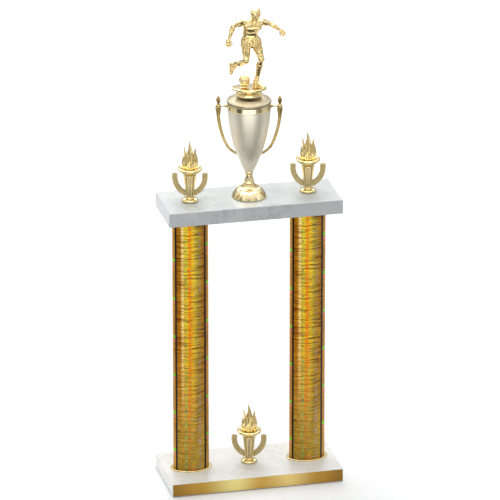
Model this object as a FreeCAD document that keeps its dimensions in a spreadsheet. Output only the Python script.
"""Figure trophy: two marble slabs joined by two oval columns, a lidded cup with a ball player on top,
and three torches. Millimetres, +Z up, the origin on the standing surface under the middle of the base."""

import FreeCAD
import Part
import Sketcher
import math
import os
import re

Vector = FreeCAD.Vector
UP = Vector(0, 0, 1)

SIZES = [
    ("slab_length", 280.0, "length of both slabs"),
    ("base_depth", 128.0, "front to back of the base slab"),
    ("base_thickness", 21.2, "thickness of the base slab"),
    ("top_depth", 102.0, "front to back of the top slab"),
    ("top_thickness", 23.0, "thickness of the top slab"),
    ("slab_edge", 0.9, "rounding of the slab edges"),
    ("pad_radius", 8.0, "felt pad"),
    ("pad_height", 1.0, "felt pad"),
    ("pad_inset", 16.0, "pad centre from the slab's ends and sides"),
    ("plate_thickness", 0.6, "gold strip on the front of the base"),
    ("column_spacing", 190.8, "between the column centres"),
    ("column_length", 430.0, "visible column"),
    ("column_width", 58.0, "oval column, across"),
    ("column_depth", 38.0, "oval column, front to back"),
    ("column_end", 11.0, "radius of the oval's ends"),
    ("tube_wall", 1.6, "column tube wall"),
    ("film_thickness", 0.25, "printed foil round the column"),
    ("film_gap", 0.05, "adhesive under the foil"),
    ("trim_overhang", 4.7, "trim plate past the column, all round"),
    ("trim_thickness", 2.4, "trim plate under the column"),
    ("plug_height", 10.0, "moulded plug in each end of the tube"),
    ("plug_gap", 0.2, "plug to tube"),
    ("rod_radius", 3.0, "threaded rod through each column"),
    ("cup_rod_radius", 2.5, "threaded rod through the cup"),
    ("rod_gap", 0.3, "rod in a clearance hole"),
    ("rod_past_nut", 2.0, "rod end below its nut"),
    ("thread_gap", 0.05, "rod in a nut"),
    ("bore_radius", 10.5, "counterbore for nut and washer"),
    ("bore_depth", 12.0, "counterbore for nut and washer"),
    ("washer_radius", 9.0, "washer"),
    ("washer_thickness", 1.5, "washer"),
    ("nut_flats", 10.0, "across the nut's flats"),
    ("nut_height", 5.0, "nut"),
    ("ornament_turn", -13.0, "cup, figure and torches turned on their rods"),
    ("foot_radius", 27.8, "cup foot"),
    ("foot_height", 22.3, "cup foot"),
    ("shell_wall", 1.2, "spun and moulded shells"),
    ("collar_radius", 8.6, "bead over the cup foot"),
    ("collar_height", 2.8, "bead over the cup foot"),
    ("stem_height", 12.5, "flared stem"),
    ("stem_top_radius", 5.4, "flared stem"),
    ("calyx_radius", 7.4, "button under the bowl"),
    ("calyx_height", 5.6, "button under the bowl"),
    ("bowl_height", 104.4, "bowl from the button to the band"),
    ("bowl_waist", 29.4, "bowl radius two thirds of the way up"),
    ("bowl_radius", 34.2, "bowl radius under the band"),
    ("band_height", 12.0, "bright band round the bowl's mouth"),
    ("band_wall", 1.0, "bright band"),
    ("lid_radius", 35.4, "lid rim"),
    ("lid_rim", 6.2, "lid rim height"),
    ("lid_dome", 4.3, "dome over the rim"),
    ("lid_fit", 0.3, "lid lip in the bowl"),
    ("lip_depth", 4.0, "lid lip in the bowl"),
    ("handle_reach", 48.5, "handle's furthest line from the cup's axis"),
    ("handle_radius", 3.0, "handle bar"),
    ("handle_drop", 78.0, "handle's lower screw below its upper one"),
    ("bud_radius", 3.4, "bud on the handle"),
    ("screw_radius", 1.0, "handle screw"),
    ("screw_length", 5.0, "handle screw"),
    ("riser_radius", 20.6, "stepped riser under the figure"),
    ("riser_top_radius", 13.5, "stepped riser under the figure"),
    ("riser_height", 8.2, "stepped riser under the figure"),
    ("stand_width", 55.0, "oval plate under the figure"),
    ("stand_depth", 37.0, "oval plate under the figure"),
    ("stand_end", 12.5, "radius of the plate's ends"),
    ("stand_thickness", 3.6, "oval plate under the figure"),
    ("stature_share", 0.955, "player's height as a share of the height its joints are given for"),
    ("ball_radius", 8.7, "ball"),
    ("ball_mound", 2.4, "mound under the ball"),
    ("peg_radius", 1.6, "pegs under the figure and the ball"),
    ("peg_gap", 0.1, "peg in its hole"),
    ("torch_foot_radius", 12.9, "torch foot"),
    ("torch_foot_height", 7.4, "torch foot"),
    ("torch_grip_height", 37.0, "tapered torch handle"),
    ("torch_grip_foot", 5.0, "torch handle radius at its foot"),
    ("torch_grip_top", 9.0, "torch handle radius at its top"),
    ("torch_dish_radius", 19.4, "torch dish"),
    ("torch_dish_height", 12.0, "torch dish"),
    ("flame_radius", 10.2, "flame at its base"),
    ("flame_height", 48.0, "flame"),
    ("laurel_reach", 24.0, "laurel branch from the torch axis"),
    ("laurel_rise", 27.5, "laurel branch, half height"),
    ("laurel_width", 8.0, "laurel branch"),
    ("laurel_thickness", 3.6, "laurel branch"),
]
ALIASES = {alias for alias, _, _ in SIZES}

# Heights of the stack, as expressions of the sheet's values.
BASE_TOP = "(pad_height + base_thickness)"
TUBE_FOOT = f"({BASE_TOP} + trim_thickness)"
SLAB_FOOT = f"({TUBE_FOOT} + column_length)"
SLAB_TOP = f"({SLAB_FOOT} + top_thickness)"
COLLAR_FOOT = f"({SLAB_TOP} + foot_height)"
STEM_FOOT = f"({COLLAR_FOOT} + collar_height)"
CALYX_FOOT = f"({STEM_FOOT} + stem_height)"
BOWL_FOOT = f"({CALYX_FOOT} + calyx_height)"
BAND_FOOT = f"({BOWL_FOOT} + bowl_height)"
LID_FOOT = f"({BAND_FOOT} + band_height)"
RISER_FOOT = f"({LID_FOOT} + lid_rim + lid_dome)"
STAND_FOOT = f"({RISER_FOOT} + riser_height)"
STAND_TOP = f"({STAND_FOOT} + stand_thickness)"
ROD_HOLE = "(rod_radius + rod_gap)"
CUP_ROD_HOLE = "(cup_rod_radius + rod_gap)"
BOWL_NECK = "(bowl_radius - band_wall - 0.1)"

doc = FreeCAD.newDocument("figure_trophy")
sheet = doc.addObject("Spreadsheet::Sheet", "Sizes")
for row, (alias, value, note) in enumerate(SIZES, 1):
    sheet.set(f"A{row}", note)
    sheet.set(f"B{row}", str(value))
    sheet.setAlias(f"B{row}", alias)
doc.recompute()
nodes = []


def bound(text):
    """The expression with each size named as the sheet's."""
    return re.sub(r"[a-z_]+[a-z]", lambda m: f"Sizes.{m[0]}" if m[0] in ALIASES else m[0], text)


def number(text):
    """The expression's value now, in millimetres or degrees."""
    return float(sheet.evalExpression(text))


def bind(item, **properties):
    for name, text in properties.items():
        item.setExpression(name, bound(text))


def place(item, x="0", y="0", z="0", turn="0"):
    """Sets the placement and binds it to the sheet."""
    item.Placement = FreeCAD.Placement(
        Vector(number(x), number(y), number(z)), FreeCAD.Rotation(UP, number(turn))
    )
    for axis, text in (("x", x), ("y", y), ("z", z)):
        item.setExpression(f"Placement.Base.{axis}", bound(text))
    return item


def node(item, label):
    item.Label = label
    nodes.append(item)
    return item


def new_body(name):
    return doc.addObject("PartDesign::Body", name)


def new_sketch(body, name, role):
    sketch = body.newObject("Sketcher::SketchObject", name)
    plane = next(f for f in body.Origin.OriginFeatures if f.Role == role)
    sketch.AttachmentSupport = [(plane, "")]
    sketch.MapMode = "FlatFace"
    return sketch


def fix(sketch, kind, *where, text):
    """Adds a dimension bound to an expression."""
    index = sketch.addConstraint(Sketcher.Constraint(kind, *where, number(text)))
    sketch.setExpression(f"Constraints[{index}]", bound(text))


def fix_point(sketch, geometry, point, x, y):
    for kind, axis, text in (("DistanceX", -2, x), ("DistanceY", -1, y)):
        if text == "0":
            sketch.addConstraint(Sketcher.Constraint("PointOnObject", geometry, point, axis))
        else:
            fix(sketch, kind, -1, 1, geometry, point, text=text)


def draw_outline(sketch, corners):
    """A closed outline. A corner is (x, y) or (x, y, bulge): an arc runs from it to the next corner and
    stands off the chord, on its right, by the bulge times half the chord."""
    points = [Vector(number(c[0]), number(c[1]), 0) for c in corners]
    edges = []
    for i, corner in enumerate(corners):
        start, end = points[i], points[(i + 1) % len(points)]
        if len(corner) < 3:
            edges.append(sketch.addGeometry(Part.LineSegment(start, end), False))
            continue
        chord = end - start
        middle = (start + end) * 0.5 + Vector(chord.y, -chord.x, 0) * (corner[2] / 2)
        arc = Part.Arc(start, middle, end)
        # Sketcher stores every arc anticlockwise, so one that turns the other way has its ends swapped.
        edges.append(sketch.addGeometry(arc, False))
    for i, corner in enumerate(corners):
        this, after = edges[i], edges[(i + 1) % len(edges)]
        target = points[(i + 1) % len(points)]
        ends = [
            1 if sketch.getPoint(edge, 1).distanceToPoint(target) < 1e-6 else 2
            for edge in (this, after)
        ]
        sketch.addConstraint(Sketcher.Constraint("Coincident", this, ends[0], after, ends[1]))
        following = corners[(i + 1) % len(corners)]
        fix_point(sketch, after, ends[1], following[0], following[1])
        if len(corner) > 2:
            across = f"(({following[0]}) - ({corner[0]}))^2 + (({following[1]}) - ({corner[1]}))^2"
            share = (1 + corner[2] ** 2) / (4 * abs(corner[2]))
            fix(sketch, "Radius", this, text=f"sqrt({across}) * {share}")


def draw_oval(sketch, half_width, half_depth, end):
    """A four-arc oval about the origin, tangent all round."""
    long, deep, small = number(half_width), number(half_depth), number(end)
    big_text = (
        f"((({half_width}) - ({end}))^2 + ({half_depth})^2 - ({end})^2)"
        f" / (2 * (({half_depth}) - ({end})))"
    )
    big = number(big_text)
    swing = math.atan2(long - small, big - deep)
    quarter = math.pi / 2
    arcs = []
    for turn, centre, radius, half in (
        (0, Vector(long - small, 0, 0), small, quarter - swing),
        (1, Vector(0, deep - big, 0), big, swing),
        (2, Vector(small - long, 0, 0), small, quarter - swing),
        (3, Vector(0, big - deep, 0), big, swing),
    ):
        circle = Part.Circle(centre, UP, radius)
        arc = Part.ArcOfCircle(circle, turn * quarter - half, turn * quarter + half)
        arcs.append(sketch.addGeometry(arc, False))
    for i, arc in enumerate(arcs):
        sketch.addConstraint(Sketcher.Constraint("Tangent", arc, 2, arcs[(i + 1) % 4], 1))
    for arc, sign in ((arcs[0], ""), (arcs[2], "-")):
        fix_point(sketch, arc, 3, f"{sign}(({half_width}) - ({end}))", "0")
        fix(sketch, "Radius", arc, text=end)
    for arc in (arcs[1], arcs[3]):
        fix(sketch, "Radius", arc, text=big_text)


def draw_circle(sketch, radius, x="0", y="0"):
    circle = sketch.addGeometry(Part.Circle(Vector(number(x), number(y), 0), UP, number(radius)), False)
    fix_point(sketch, circle, 3, x, y)
    fix(sketch, "Radius", circle, text=radius)


def draw_rectangle(sketch, width, depth):
    half_w, half_d = f"({width}) / 2", f"({depth}) / 2"
    left, front = f"-({width}) / 2", f"-({depth}) / 2"
    draw_outline(sketch, [(left, front), (half_w, front), (half_w, half_d), (left, half_d)])


def pad(body, sketch, height):
    feature = body.newObject("PartDesign::Pad", f"{body.Name}_pad")
    feature.Profile = sketch
    bind(feature, Length=height)
    doc.recompute()
    return feature


def pocket(body, sketch, depth=None):
    """Cuts upwards from the sketch's plane, or right through the body."""
    before = body.Shape.Volume
    feature = body.newObject("PartDesign::Pocket", f"{body.Name}_pocket")
    feature.Profile = sketch
    if depth is None:
        feature.Type = "ThroughAll"
        feature.Midplane = True
    else:
        feature.Reversed = True
        bind(feature, Length=depth)
    doc.recompute()
    if not feature.Shape.Volume < before:
        raise RuntimeError(f"{feature.Name} cuts nothing")
    return feature


def rounding(body, base, edges, radius, kind="Fillet"):
    feature = body.newObject(f"PartDesign::{kind}", f"{body.Name}_{kind.lower()}")
    feature.Base = (base, edges)
    bind(feature, **{"Radius" if kind == "Fillet" else "Size": radius})
    doc.recompute()
    return feature


def edges_at(shape, height):
    """Names of the edges that lie wholly at one height."""
    return [
        f"Edge{i}"
        for i, edge in enumerate(shape.Edges, 1)
        if abs(edge.BoundBox.ZMin - height) < 1e-4 and abs(edge.BoundBox.ZMax - height) < 1e-4
    ]


def turned(name, corners, x="0", y="0", z="0"):
    """A turned piece: an outline of radius and height, revolved about the body's own upright axis."""
    body = new_body(name)
    sketch = new_sketch(body, f"{name}_outline", "XZ_Plane")
    draw_outline(sketch, corners)
    feature = body.newObject("PartDesign::Revolution", f"{name}_turning")
    feature.Profile = sketch
    feature.ReferenceAxis = (sketch, ["V_Axis"])
    feature.Angle = 360
    doc.recompute()
    return place(body, x, y, z)


def drilled(body, radius, depth=None, x="0", y="0"):
    sketch = new_sketch(body, f"{body.Name}_hole", "XY_Plane")
    draw_circle(sketch, radius, x, y)
    return pocket(body, sketch, depth)


def rod(name, radius, foot, head, x="0"):
    item = doc.addObject("Part::Cylinder", name)
    bind(item, Radius=radius, Height=f"({head}) - ({foot})")
    return place(item, x, "0", foot)


def group(name, members):
    item = doc.addObject("Part::Compound", name)
    item.Links = members
    return item


def nut(name, hole, x, z):
    """A hexagon nut, drawn by its corners."""
    body = new_body(name)
    sketch = new_sketch(body, f"{name}_outline", "XY_Plane")
    corners = []
    for k in range(6):
        angle = math.radians(60 * k)
        corners.append(
            (
                f"nut_flats / sqrt(3) * {math.cos(angle):.9f}",
                f"nut_flats / sqrt(3) * {math.sin(angle):.9f}" if k % 3 else "0",
            )
        )
    draw_outline(sketch, corners)
    pad(body, sketch, "nut_height")
    drilled(body, hole)
    return place(body, x, "0", z)


def washer(name, hole, x, z):
    return turned(
        name,
        [
            (hole, "0"),
            ("washer_radius", "0"),
            ("washer_radius", "washer_thickness"),
            (hole, "washer_thickness"),
        ],
        x=x,
        z=z,
    )


def slab(name, depth, thickness, z, holes, back="0"):
    """A marble slab with rounded edges, set back from the origin. A hole is its place along the slab, its
    radius and whether its foot is counterbored."""
    body = new_body(name)
    sketch = new_sketch(body, f"{name}_outline", "XY_Plane")
    draw_rectangle(sketch, "slab_length", depth)
    block = pad(body, sketch, thickness)
    rounding(body, block, [f"Edge{i}" for i in range(1, 13)], "slab_edge")
    for x, radius, sunk in holes:
        drilled(body, radius, x=x, y=f"-({back})")
        if sunk:
            drilled(body, "bore_radius", "bore_depth", x=x, y=f"-({back})")
    return node(place(body, y=back, z=z), name)


def shape_node(name, shape, x="0", z="0"):
    """A free-form piece made with Part's own functions, placed and turned like the other ornaments."""
    item = doc.addObject("Part::Feature", name)
    item.Shape = shape
    return node(place(item, x, "0", z, "ornament_turn"), name)


def egg(centre, along, half_length, radius):
    """A closed solid of revolution with an elliptic outline."""
    points = [
        Vector(radius * math.cos(a), 0, half_length * math.sin(a))
        for a in (math.radians(-90 + 15 * k) for k in range(13))
    ]
    points[0].x = points[-1].x = 0
    curve = Part.BSplineCurve()
    curve.interpolate(Points=points, InitialTangent=Vector(1, 0, 0), FinalTangent=Vector(-1, 0, 0))
    face = Part.Face(Part.Wire([curve.toShape(), Part.makeLine(points[-1], points[0])]))
    solid = face.revolve(Vector(0, 0, 0), UP, 360)
    solid.Placement = FreeCAD.Placement(centre, FreeCAD.Rotation(UP, along))
    return solid


def section(centre, along, width, depth, side):
    """A closed elliptic wire across the direction along, width measured towards side."""
    forward = Vector(along).normalize()
    across = (side - forward * side.dot(forward)).normalize()
    over = forward.cross(across)
    points = [
        centre + across * (width * math.cos(a)) + over * (depth * math.sin(a))
        for a in (math.tau * k / 16 for k in range(16))
    ]
    curve = Part.BSplineCurve()
    curve.interpolate(Points=points, PeriodicFlag=True)
    return Part.Wire(curve.toShape())


def limb(stations, side=Vector(0, 1, 0), between=1):
    """A closed solid through stations of (centre, half width, half depth), with the path smoothed into as
    many steps between two stations as asked."""
    knots = [0.0]
    for before, after in zip(stations, stations[1:]):
        knots.append(knots[-1] + (after[0] - before[0]).Length)
    path = Part.BSplineCurve()
    path.interpolate(Points=[s[0] for s in stations], Parameters=knots)
    wires = []
    for i in range((len(stations) - 1) * between + 1):
        k, share = min(i // between, len(stations) - 2), i / between
        share -= k
        at = knots[k] + (knots[k + 1] - knots[k]) * share
        (_, w0, d0), (_, w1, d1) = stations[k : k + 2]
        width, depth = w0 + (w1 - w0) * share, d0 + (d1 - d0) * share
        wires.append(section(path.value(at), path.tangent(at)[0], width, depth, side))
    return Part.makeLoft(wires, True, True)


def joined(pieces):
    solid = pieces[0].multiFuse(pieces[1:]).removeSplitter()
    if len(solid.Solids) != 1:
        raise RuntimeError(f"{len(solid.Solids)} solids where one was meant")
    solid = solid.Solids[0]
    return solid if solid.Volume > 0 else solid.reversed()


# ---------------------------------------------------------------- base and columns

COLUMN_X = {"left": "-column_spacing / 2", "right": "column_spacing / 2"}


def make_base():
    holes = [(x, ROD_HOLE, True) for x in COLUMN_X.values()] + [("0", ROD_HOLE, True)]
    depth = "base_depth - plate_thickness"
    slab("base_slab", depth, "base_thickness", "pad_height", holes, "plate_thickness / 2")

    strip = doc.addObject("Part::Box", "front_plate")
    bind(
        strip,
        Length="slab_length - 2 * slab_edge",
        Width="plate_thickness",
        Height="base_thickness - 2 * slab_edge",
    )
    place(strip, "slab_edge - slab_length / 2", "-base_depth / 2", "pad_height + slab_edge")
    node(strip, "front_plate")

    pads = []
    for x in ("-", ""):
        for y in ("-", ""):
            disc = doc.addObject("Part::Cylinder", "felt_pad")
            bind(disc, Radius="pad_radius", Height="pad_height")
            pads.append(
                place(disc, f"{x}(slab_length / 2 - pad_inset)", f"{y}(base_depth / 2 - pad_inset)")
            )
    node(group("base_pads", pads), "base_pads")


def oval_body(name, grow, height, z, x):
    """An oval block as wide and deep as the column plus twice grow."""
    body = new_body(name)
    sketch = new_sketch(body, f"{name}_outline", "XY_Plane")
    draw_oval(sketch, f"column_width / 2 + {grow}", f"column_depth / 2 + {grow}", f"column_end + {grow}")
    pad(body, sketch, height)
    return place(body, x, "0", z)


def oval_pocket(body, grow, depth=None):
    sketch = new_sketch(body, f"{body.Name}_bore", "XY_Plane")
    draw_oval(sketch, f"column_width / 2 + {grow}", f"column_depth / 2 + {grow}", f"column_end + {grow}")
    return pocket(body, sketch, depth)


def make_column(side, x):
    trim = oval_body(f"column_trim_{side}", "trim_overhang", "trim_thickness", BASE_TOP, x)
    rounding(trim, trim.Tip, edges_at(trim.Tip.Shape, number("trim_thickness")), "trim_thickness * 0.4")
    drilled(trim, ROD_HOLE)
    node(trim, f"column_trim_{side}")

    skin = "-(film_thickness + film_gap)"
    tube = oval_body(f"column_tube_{side}", skin, "column_length", TUBE_FOOT, x)
    oval_pocket(tube, f"{skin} - tube_wall")
    node(tube, f"column_tube_{side}")

    film = oval_body(f"column_film_{side}", "0", "column_length", TUBE_FOOT, x)
    oval_pocket(film, "-film_thickness")
    node(film, f"column_film_{side}")

    inside = f"{skin} - tube_wall - plug_gap"
    for end, z in (("foot", TUBE_FOOT), ("head", f"{SLAB_FOOT} - plug_height")):
        plug = oval_body(f"column_plug_{side}_{end}", inside, "plug_height", z, x)
        drilled(plug, ROD_HOLE)
        node(plug, f"column_plug_{side}_{end}")


def make_column_fasteners():
    washer_z = "pad_height + bore_depth - washer_thickness"
    nut_z = f"{washer_z} - nut_height"
    rod_foot = f"{nut_z} - rod_past_nut"
    washers, nuts = [], []
    for side, x in COLUMN_X.items():
        tie = rod(f"column_rod_{side}", "rod_radius", rod_foot, f"{SLAB_TOP} + torch_foot_height", x)
        node(tie, f"column_rod_{side}")
        washers.append(washer(f"washer_{side}", ROD_HOLE, x, washer_z))
        nuts.append(nut(f"nut_{side}", "rod_radius + thread_gap", x, nut_z))
    stud_head = f"{BASE_TOP} + torch_foot_height"
    node(rod("torch_stud_base", "rod_radius", rod_foot, stud_head), "torch_stud_base")
    washers.append(washer("washer_stud", ROD_HOLE, "0", washer_z))
    nuts.append(nut("nut_stud", "rod_radius + thread_gap", "0", nut_z))
    node(group("base_washers", washers), "base_washers")
    node(group("base_nuts", nuts), "base_nuts")


def make_top_slab():
    holes = [(x, ROD_HOLE, False) for x in COLUMN_X.values()] + [("0", CUP_ROD_HOLE, True)]
    slab("top_slab", "top_depth", "top_thickness", SLAB_FOOT, holes)
    washer_z = f"{SLAB_FOOT} + bore_depth - washer_thickness"
    nut_z = f"{washer_z} - nut_height"
    node(washer("cup_washer", CUP_ROD_HOLE, "0", washer_z), "cup_washer")
    node(nut("cup_nut", "cup_rod_radius + thread_gap", "0", nut_z), "cup_nut")
    head = f"{STAND_FOOT} - 1"
    node(rod("cup_rod", "cup_rod_radius", f"{nut_z} - rod_past_nut", head), "cup_rod")


# ---------------------------------------------------------------- cup


def make_cup_stand():
    wall = "shell_wall"
    foot = [
        ("foot_radius - 2", "0"),
        ("foot_radius - 0.8", "0", 0.41),
        ("foot_radius - 0.4", "2.4", 0.16),
        ("foot_radius * 0.68", "foot_height * 0.62"),
        ("foot_radius * 0.655", "foot_height * 0.66", 0.12),
        ("collar_radius + 1", f"foot_height - {wall}", -0.2),
        ("collar_radius", "foot_height"),
        (CUP_ROD_HOLE, "foot_height"),
        (CUP_ROD_HOLE, f"foot_height - {wall}"),
        ("collar_radius - 1", f"foot_height - 2 * {wall}"),
        (f"foot_radius * 0.655 - {wall}", f"foot_height * 0.66 - {wall}", -0.16),
    ]
    node(turned("cup_foot", foot, z=SLAB_TOP), "cup_foot")

    collar = [
        (CUP_ROD_HOLE, "0"),
        ("collar_radius - 0.8", "0", 0.7),
        ("collar_radius - 0.8", "collar_height"),
        (CUP_ROD_HOLE, "collar_height"),
    ]
    node(turned("cup_collar", collar, z=COLLAR_FOOT), "cup_collar")

    stem = [
        (f"collar_radius - 0.8 - {wall}", "0"),
        ("collar_radius - 0.8", "0", 0.12),
        ("stem_top_radius + 0.5", "stem_height * 0.78", -0.1),
        ("stem_top_radius", "stem_height"),
        (CUP_ROD_HOLE, "stem_height"),
        (CUP_ROD_HOLE, f"stem_height - {wall}"),
        (f"stem_top_radius - {wall}", f"stem_height - {wall}"),
    ]
    node(turned("cup_stem", stem, z=STEM_FOOT), "cup_stem")

    calyx = [
        (CUP_ROD_HOLE, "0"),
        ("calyx_radius * 0.62", "0", 0.36),
        ("calyx_radius", "calyx_height"),
        (CUP_ROD_HOLE, "calyx_height"),
    ]
    node(turned("cup_calyx", calyx, z=CALYX_FOOT), "cup_calyx")


WAIST_HEIGHT = "bowl_height * 0.612"


def screw_places():
    """Where each handle is screwed on: the outer wall's radius and height above the bowl's foot, how far the
    screw leans down from level, and the depth of the walls under it."""
    walls = "band_wall + shell_wall + 0.2"
    upper = ("bowl_radius", "bowl_height + band_height * 0.25", 0.0, walls)
    lower_z = "bowl_height + band_height * 0.25 - handle_drop"
    share = f"(({lower_z}) / ({WAIST_HEIGHT}))"
    radius = f"calyx_radius + (bowl_waist - calyx_radius) * {share} + 11.4 * {share} * (1 - {share})"
    return upper, (radius, lower_z, 18.0, "shell_wall + 0.55")


def screw_hole(radius, place_at, sign, reach, length):
    """A cylinder along a handle screw's axis, from reach inside the outer wall."""
    wall, height, lean = number(place_at[0]), number(place_at[1]), math.radians(place_at[2])
    out = Vector(sign * math.cos(lean), 0, -math.sin(lean))
    start = Vector(sign * wall, 0, height) - out * reach
    return Part.makeCylinder(radius, length, start, out)


def bowl_with_holes(name, corners, z):
    """A turned shell of the bowl, drilled for the handle screws."""
    shape = turned(f"{name}_blank", corners).Shape.copy()
    lift = number(z) - number(BOWL_FOOT)
    for sign in (-1, 1):
        for spot in screw_places():
            tool = screw_hole(number("screw_radius + peg_gap"), spot, sign, 5, 8)
            tool.translate(Vector(0, 0, -lift))
            shape = shape.cut(tool)
    shape_node(name, shape.Solids[0], z=z)


def make_bowl():
    wall = "shell_wall"
    waist_in = f"bowl_waist - {wall}"
    bowl = [
        (CUP_ROD_HOLE, "0"),
        ("calyx_radius", "0", 0.07),
        ("bowl_waist", WAIST_HEIGHT, 0.045),
        ("bowl_radius", "bowl_height"),
        (BOWL_NECK, "bowl_height"),
        (BOWL_NECK, "bowl_height + band_height"),
        (f"{BOWL_NECK} - {wall}", "bowl_height + band_height"),
        (f"{BOWL_NECK} - {wall}", "bowl_height", -0.045),
        (waist_in, WAIST_HEIGHT, -0.07),
        (f"calyx_radius - {wall} * 0.6", wall),
        (CUP_ROD_HOLE, wall),
    ]
    bowl_with_holes("cup_bowl", bowl, BOWL_FOOT)

    band = [
        ("bowl_radius - band_wall", "0"),
        ("bowl_radius", "0"),
        ("bowl_radius", "band_height"),
        ("bowl_radius - band_wall", "band_height"),
    ]
    bowl_with_holes("cup_band", band, BAND_FOOT)

    lip = f"{BOWL_NECK} - {wall} - lid_fit"
    lid = [
        (f"{lip} - {wall}", "-lip_depth"),
        (lip, "-lip_depth"),
        (lip, "0"),
        ("bowl_radius", "0"),
        ("bowl_radius", "lid_rim * 0.3", -0.2),
        ("lid_radius", "lid_rim * 0.66", 0.6),
        ("lid_radius - 1.4", "lid_rim"),
        ("lid_radius - 3.4", "lid_rim + 0.5", 0.08),
        ("riser_radius + 1", "lid_rim + lid_dome"),
        (CUP_ROD_HOLE, "lid_rim + lid_dome"),
        (CUP_ROD_HOLE, f"lid_rim + lid_dome - {wall}"),
        ("riser_radius", f"lid_rim + lid_dome - {wall}"),
        (f"{lip} - {wall}", f"lid_rim - {wall}"),
    ]
    node(turned("cup_lid", lid, z=LID_FOOT), "cup_lid")


def handle_line():
    """Points of the right handle's bar, from its foot on the bowl to its head, with the bar's radius."""
    upper, lower = screw_places()
    reach, head = number("handle_reach"), number(upper[1])
    thick = number("handle_radius")
    foot_x, foot_z = number(lower[0]) + 1.9, number(lower[1])
    span, rise = reach - foot_x, head - foot_z
    shares = ((0.0, 0.0, 0.62), (0.12, 0.015, 0.62), (0.46, 0.13, 0.7), (0.72, 0.33, 0.82))
    shares += ((0.91, 0.58, 0.92), (1.0, 0.84, 1.0), (0.985, 1.0, 1.05))
    return [(Vector(foot_x + span * a, 0, foot_z + rise * b), thick * k) for a, b, k in shares]


def make_handle(side, sign):
    gap = 0.15
    line = handle_line()
    head, thick = line[-1]
    bud = number("bud_radius")
    parts = [limb([(centre, radius, radius) for centre, radius in line], between=3)]
    bar_start = number("bowl_radius") + gap
    bar = Part.makeCylinder(thick * 0.55, head.x - bar_start, Vector(bar_start, 0, head.z), Vector(1, 0, 0))
    boss = Part.makeCylinder(thick * 0.95, 1.6, Vector(bar_start, 0, head.z), Vector(1, 0, 0))
    pad_boss = screw_hole(thick * 0.66, screw_places()[1], 1, -gap, 4)
    parts += [bar, boss, pad_boss, egg(head, UP, bud * 1.15, bud)]
    neck = head + UP * (bud * 0.9)
    parts.append(Part.makeCone(thick * 0.6, thick * 0.42, bud * 0.9, neck, UP))
    parts.append(egg(head + UP * (bud * 3.1), UP, bud * 1.7, bud * 0.95))
    solid = joined(parts)
    for spot in screw_places():
        solid = solid.cut(screw_hole(number("screw_radius"), spot, 1, -gap / 2, number("screw_length")))
    if sign < 0:
        solid = solid.mirror(Vector(0, 0, 0), Vector(1, 0, 0))
    shape_node(f"cup_handle_{side}", solid.Solids[0], z=BOWL_FOOT)


def make_handle_screws():
    """Four pan-head screws from inside the bowl, two for each handle."""
    radius, length = number("screw_radius"), number("screw_length")
    screws = []
    for sign in (-1, 1):
        for spot in screw_places():
            inside = number(spot[3])
            shank = screw_hole(radius - 0.05, spot, sign, inside, inside + length * 0.7)
            head = screw_hole(radius * 2, spot, sign, inside + radius, radius)
            screws.append(shank.fuse(head).removeSplitter())
    shape_node("handle_screws", Part.makeCompound(screws), z=BOWL_FOOT)


# ---------------------------------------------------------------- figure


def make_riser():
    steps = [
        ("cup_rod_radius + thread_gap", "0"),
        ("riser_radius", "0", 0.6),
        ("riser_radius", "riser_height * 0.2"),
        ("riser_radius - 2.4", "riser_height * 0.28"),
        ("riser_radius - 2.4", "riser_height * 0.42"),
        ("riser_radius - 4.4", "riser_height * 0.5", -0.12),
        ("riser_top_radius + 0.4", "riser_height * 0.88"),
        ("riser_top_radius + 0.4", "riser_height"),
        ("cup_rod_radius + thread_gap", "riser_height"),
    ]
    node(turned("figure_riser", steps, z=RISER_FOOT), "figure_riser")


BALL_AT = (-7.2, 0.8)  # the ball's centre on the stand, from the cup's axis
PEGS = {"ball": BALL_AT, "heel": (11.5, 7.0), "toe": (19.0, 0.0)}


def peg(spot, foot, head, radius):
    x, y = PEGS[spot]
    return Part.makeCylinder(radius, head - foot, Vector(x, y, foot), UP)


def make_stand():
    body = new_body("figure_stand_blank")
    sketch = new_sketch(body, "figure_stand_outline", "XY_Plane")
    draw_oval(sketch, "stand_width / 2", "stand_depth / 2", "stand_end")
    block = pad(body, sketch, "stand_thickness")
    rims = edges_at(block.Shape, 0) + edges_at(block.Shape, number("stand_thickness"))
    rounding(body, block, rims, "stand_thickness * 0.38")
    shape = body.Shape.copy()
    thick = number("stand_thickness")
    for spot in PEGS:
        shape = shape.cut(peg(spot, -1, thick + 1, number("peg_radius + peg_gap")))
    shape_node("figure_stand", shape.Solids[0], z=STAND_FOOT)


def make_ball():
    radius, mound, thick = number("ball_radius"), number("ball_mound"), number("stand_thickness")
    x, y = BALL_AT
    ball = Part.makeSphere(radius, Vector(x, y, mound + radius * 0.93))
    seat = Part.makeCone(radius * 0.74, radius * 0.5, mound * 1.2, Vector(x, y, 0), UP)
    pin = peg("ball", -thick, 1, number("peg_radius"))
    shape_node("figure_ball", joined([ball, seat, pin]), z=STAND_TOP)


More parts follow.
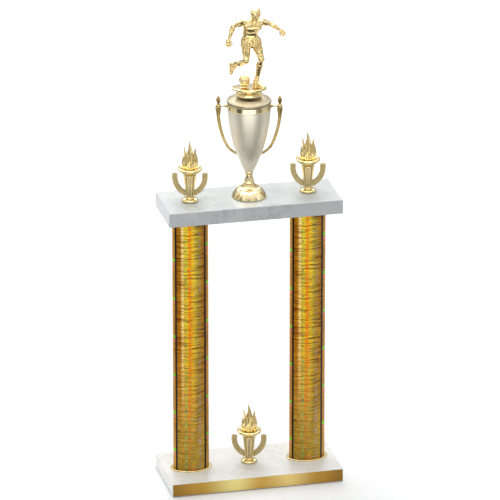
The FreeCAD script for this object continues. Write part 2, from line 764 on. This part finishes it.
def make_player():
    """A kicking ball player, posed about these joints. x is to the viewer's right and y away."""
    head, chin, neck = Vector(9.8, -7.4, 128.4), Vector(9.3, -10.2, 120.8), Vector(7.8, -4.2, 114.6)
    pelvis, waist, chest = Vector(3.6, 0, 79), Vector(2.6, -1.0, 92), Vector(5.6, -3.6, 106)
    trunk = [
        (pelvis - UP * 7, 9.0, 6.2),
        (pelvis, 14.6, 9.0),
        (waist, 11.2, 7.4),
        (chest, 14.0, 8.6),
        (chest + Vector(1.2, 0, 6.4), 13.6, 7.2),
        (neck, 5.2, 4.8),
    ]
    torso = limb(trunk, side=Vector(1, 0, 0))
    throat = limb([(neck - UP * 3, 4.4, 4.4), (neck + UP * 4, 4.1, 4.1), (head - UP * 4, 4.3, 4.3)])
    skull, jaw = egg(head, Vector(0.1, 0.12, 1), 10.4, 8.2), egg(chin, Vector(0.1, 0.3, 1), 3.2, 3.2)
    solids = [torso, throat, skull, jaw]
    arms = [
        (Vector(-7, -3, 112.6), Vector(-26.6, 4, 104.6), Vector(-31, -2, 86), Vector(-32.4, -4, 76.6)),
        (Vector(21, -3, 113.4), Vector(35, 7, 108.2), Vector(49, 4, 97.8), Vector(55.8, 2, 91.2)),
    ]
    for shoulder, elbow, wrist, tip in arms:
        upper, lower = (shoulder + elbow) * 0.5, elbow * 0.6 + wrist * 0.4
        inner = shoulder + (shoulder - elbow) * 0.25
        stations = [(inner, 4.6, 4.6), (shoulder, 5.4, 5.4), (upper, 4.5, 4.5), (elbow, 3.5, 3.5)]
        stations += [(lower, 3.7, 3.7), (wrist, 2.3, 2.3)]
        solids.append(limb(stations))
        hand = (wrist + tip) * 0.5
        solids.append(egg(hand, tip - wrist, (tip - wrist).Length * 0.62, 3.1))
    legs = [
        (Vector(-4.4, -0.6, 80), Vector(-5, -10, 52.6), Vector(-24.4, 6, 38.8), 6.4, 4.6),
        (Vector(12.2, 1.6, 80), Vector(18.2, -6, 50.4), Vector(12.8, 6, 13), 6.4, 4.6),
    ]
    for hip, knee, ankle, thigh, cap in legs:
        middle, calf = (hip + knee) * 0.5, knee * 0.68 + ankle * 0.32
        solids.append(limb([(hip, 8.2, 8.2), (middle, thigh, thigh), (knee, cap, cap)]))
        solids.append(egg(knee, ankle - knee, cap * 1.15, cap * 1.08))
        low = ankle * 0.8 + knee * 0.2
        solids.append(limb([(knee, cap, cap), (calf, 5.0, 5.0), (low, 3.5, 3.5), (ankle, 3.1, 3.1)]))
    raised = [
        (Vector(-24.0, 5.6, 39.6), 3.3, 3.3),
        (Vector(-26.4, 6.6, 35.0), 4.6, 3.9),
        (Vector(-27.8, 4.6, 28.0), 3.6, 3.7),
        (Vector(-28.6, 2.2, 22.0), 2.6, 3.4),
        (Vector(-28.8, 1.2, 19.6), 1.2, 2.0),
    ]
    solids.append(limb(raised))
    shoe = [
        (Vector(8.8, 11.0, 3.0), 1.8, 2.0),
        (Vector(10.2, 9.6, 3.4), 3.9, 3.3),
        (Vector(14.2, 5.4, 3.6), 4.4, 3.6),
        (Vector(19.0, 0.2, 2.8), 3.6, 4.4),
        (Vector(22.6, -3.6, 2.2), 2.8, 4.0),
        (Vector(25.2, -6.4, 1.8), 1.4, 2.0),
    ]
    sock = [(Vector(12.8, 6, 13), 3.2, 3.2), (Vector(12.6, 6.6, 4), 3.0, 3.0)]
    solids += [limb(shoe, side=UP), limb(sock)]
    thick = number("stand_thickness")
    shorter = FreeCAD.Matrix()
    shorter.scale(1, 1, number("stature_share"))
    player = joined(solids).transformGeometry(shorter).Solids[0]
    body = joined([player] + [peg(spot, -thick, 3, number("peg_radius")) for spot in ("heel", "toe")])
    floor = Part.makeBox(200, 200, thick, Vector(-100, -100, -thick))
    for spot in ("heel", "toe"):
        floor = floor.cut(peg(spot, -thick, 0, number("peg_radius")))
    shape_node("figure_player", body.cut(floor).Solids[0], z=STAND_TOP)


# ---------------------------------------------------------------- torches


def make_torch(place_name, x, z):
    foot = [
        ("rod_radius + thread_gap", "0"),
        ("torch_foot_radius - 1.2", "0", 0.8),
        ("torch_foot_radius - 1.8", "4.2", -0.1),
        ("torch_grip_foot + 1", "torch_foot_height - 1.4"),
        ("torch_grip_foot + 1", "torch_foot_height"),
        ("rod_radius + thread_gap", "torch_foot_height"),
    ]
    node(turned(f"torch_foot_{place_name}", foot, x=x, z=z), f"torch_foot_{place_name}")

    grip_z = f"{z} + torch_foot_height"
    shape_node(f"torch_grip_{place_name}", torch_grip(), x=x, z=grip_z)

    dish_z = f"{grip_z} + torch_grip_height"
    dish = [
        ("0", "0"),
        ("torch_grip_top + 0.6", "0", 0.1),
        ("torch_dish_radius - 1.6", "torch_dish_height * 0.62"),
        ("torch_dish_radius", "torch_dish_height * 0.76", 0.6),
        ("torch_dish_radius - 1.4", "torch_dish_height"),
        ("torch_dish_radius - 3.4", "torch_dish_height", 0.2),
        ("flame_radius * 0.8", "torch_dish_height * 0.7"),
        ("0", "torch_dish_height * 0.7"),
    ]
    node(turned(f"torch_dish_{place_name}", dish, x=x, z=dish_z), f"torch_dish_{place_name}")
    flame_z = f"{dish_z} + torch_dish_height * 0.7"
    shape_node(f"torch_flame_{place_name}", torch_flame(), x=x, z=flame_z)


def laurel_branch(sign):
    """One curved branch, from the grip's foot round and up to its tip."""
    reach, rise = number("laurel_reach"), number("laurel_rise")
    width, thick = number("laurel_width") / 2, number("laurel_thickness") / 2
    middle = rise + 3.0
    stations = []
    for degrees, share in ((2, 0.7), (20, 0.85), (40, 1), (60, 1), (78, 1), (94, 0.9), (106, 0.45)):
        t = math.radians(degrees)
        centre = Vector(sign * reach * math.sin(t), 0, middle - rise * math.cos(t))
        stations.append((centre, thick, width * share))
    return limb(stations, between=2)


def torch_grip():
    """The eight-sided tapering grip with both laurel branches, one moulding."""
    foot, top, height = number("torch_grip_foot"), number("torch_grip_top"), number("torch_grip_height")
    wires = []
    for radius, level in ((foot, 0.0), (foot, 3.0), (top, height)):
        corners = [
            Vector(radius * math.cos(a), radius * math.sin(a), level)
            for a in (math.tau * (k + 0.5) / 8 for k in range(8))
        ]
        wires.append(Part.makePolygon(corners + corners[:1]))
    grip = Part.makeLoft(wires, True, True)
    return joined([grip, laurel_branch(-1), laurel_branch(1)])


# Each tongue: angle round the flame, its foot's and tip's share of the radius, and its share of the height.
TONGUES = [
    (0, 0.0, 0.0, 1.0),
    (190, 0.62, 0.95, 0.74),
    (15, 0.62, 0.9, 0.68),
    (235, 0.7, 0.6, 0.56),
    (305, 0.7, 0.55, 0.5),
    (170, 0.78, 1.12, 0.44),
    (90, 0.6, 0.55, 0.7),
    (50, 0.7, 1.0, 0.5),
    (130, 0.7, 0.9, 0.52),
]


def torch_flame():
    """Pointed tongues rising from one round base."""
    radius, height = number("flame_radius"), number("flame_height")
    parts = [Part.makeCylinder(radius * 0.78, 3.4), egg(Vector(0, 0, 7.4), UP, 6.4, radius)]
    for degrees, foot, tip, share in TONGUES:
        around = Vector(math.cos(math.radians(degrees)), math.sin(math.radians(degrees)), 0)
        stations = []
        bend = (foot + tip) / 2
        levels = ((0.08, foot * 0.9, 0.36), (0.4, foot + 0.12, 0.33), (0.7, bend, 0.2), (1.0, tip, 0.05))
        for level, out, girth in levels:
            centre = around * (radius * out) + UP * (3 + (height - 3) * share * level)
            stations.append((centre, radius * girth, radius * girth))
        parts.append(limb(stations))
    return joined(parts)


# ---------------------------------------------------------------- build and write

make_base()
for side, column_x in COLUMN_X.items():
    make_column(side, column_x)
make_column_fasteners()
make_top_slab()
make_cup_stand()
make_bowl()
for side, sign in (("left", -1), ("right", 1)):
    make_handle(side, sign)
make_handle_screws()
make_riser()
make_stand()
make_ball()
make_player()
make_torch("left", COLUMN_X["left"], SLAB_TOP)
make_torch("right", COLUMN_X["right"], SLAB_TOP)
make_torch("base", "0", BASE_TOP)
doc.recompute()

for item in doc.Objects:
    if "Invalid" in item.State or "Error" in item.State:
        raise RuntimeError(f"{item.Name} failed: {item.State}")
for item in nodes:
    if item.Shape.isNull() or not item.Shape.isValid() or not item.Shape.Solids:
        raise RuntimeError(f"{item.Label} has no valid solid")

os.makedirs("parts", exist_ok=True)
for item in nodes:
    item.Shape.exportStep(f"parts/{item.Label}.step")
print(len(nodes), "nodes")
